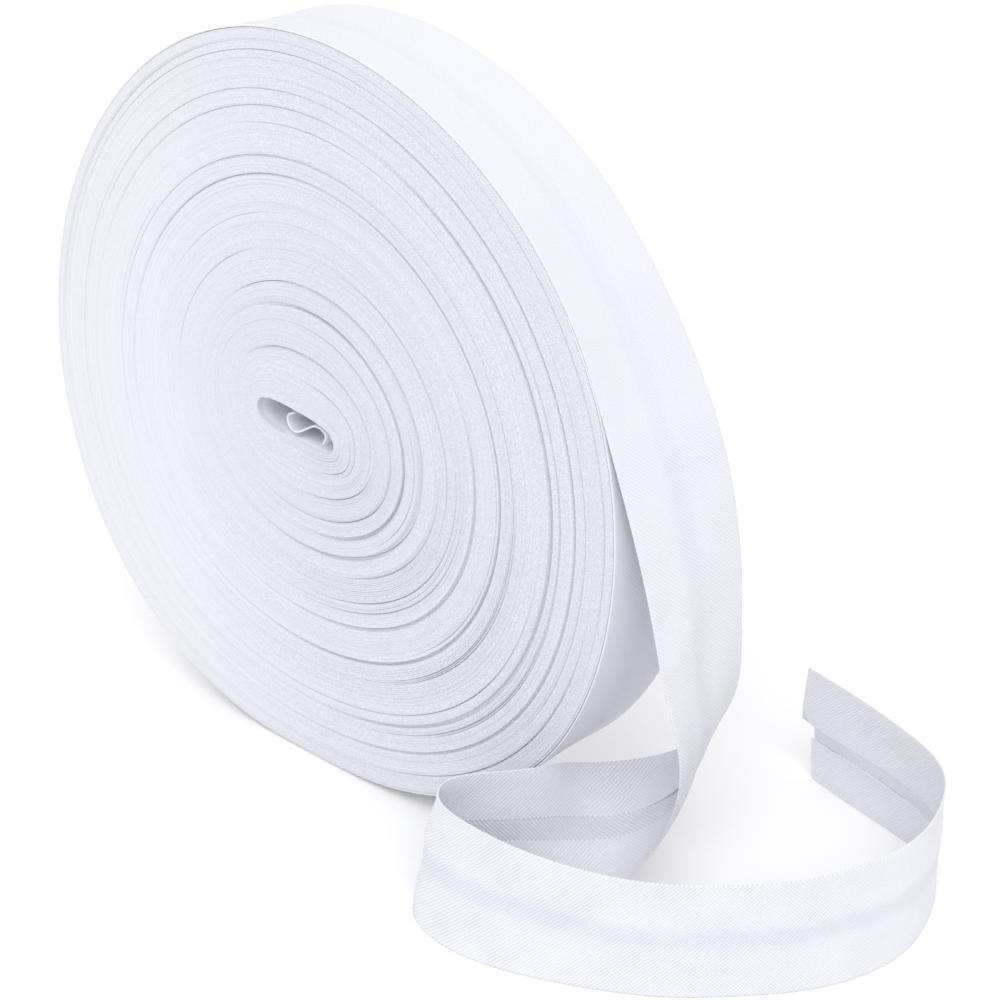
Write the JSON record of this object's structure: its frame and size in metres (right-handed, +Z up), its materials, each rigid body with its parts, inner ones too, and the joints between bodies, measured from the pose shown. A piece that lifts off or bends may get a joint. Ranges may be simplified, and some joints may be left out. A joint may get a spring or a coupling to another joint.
{
  "type": "roll of bias piping tape",
  "caption": "Coreless roll of white cotton tape with both edges folded in, standing on its rim; the outer end hangs off, turns under and stands on edge in an open curl.",
  "frame": {"origin": "middle of the small flat spot that the roll stands on", "axes": "+Z up, Y along the roll's axis with its front face towards -Y, loose end on the +X side"},
  "size_m": [0.2085, 0.0946, 0.1553],
  "materials": {
    "tape_cloth": "matt woven cotton"
  },
  "bodies": {
    "root": {"roll": "tape_cloth", "loose_end": "tape_cloth", "core_curl": "tape_cloth"}
  },
  "joints": []
}
